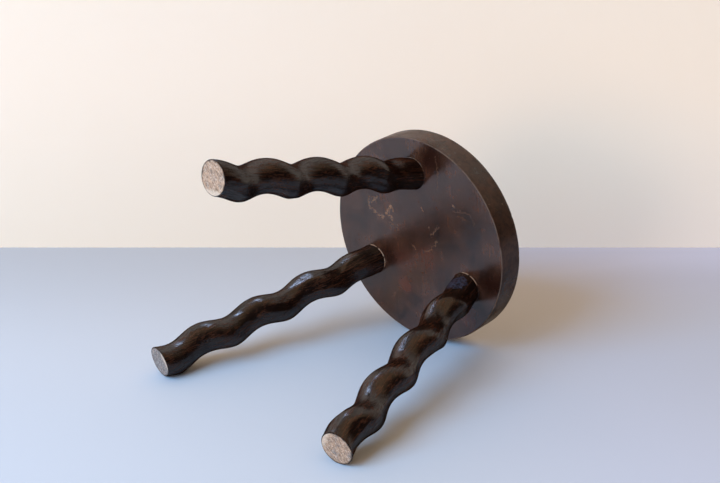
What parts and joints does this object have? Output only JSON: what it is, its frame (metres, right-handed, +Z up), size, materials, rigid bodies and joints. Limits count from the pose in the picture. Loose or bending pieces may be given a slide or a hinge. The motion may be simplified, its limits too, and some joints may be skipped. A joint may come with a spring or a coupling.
{
  "type": "milking stool",
  "caption": "Low stool with a round slab seat on splayed, twist-carved wooden legs that are tenoned through the seat and wedged.",
  "frame": {"origin": "on the floor that the stool stands on, below the centre of the round seat", "axes": "+Z up along the seat's axis, +Y towards the back leg, +X towards the right leg's side"},
  "size_m": [0.3255, 0.3213, 0.3321],
  "materials": {
    "seat_wood": "dark stain under a worn semi-gloss wax",
    "leg_wood": "dark stain under a semi-gloss wax, bare end grain on the feet",
    "wedge_wood": "end grain, stained thinly with the seat's top"
  },
  "bodies": {
    "root": {"seat": "seat_wood", "leg_right": "leg_wood", "leg_left": "leg_wood", "leg_back": "leg_wood", "wedge_right": "wedge_wood", "wedge_left": "wedge_wood", "wedge_back": "wedge_wood"}
  },
  "joints": []
}
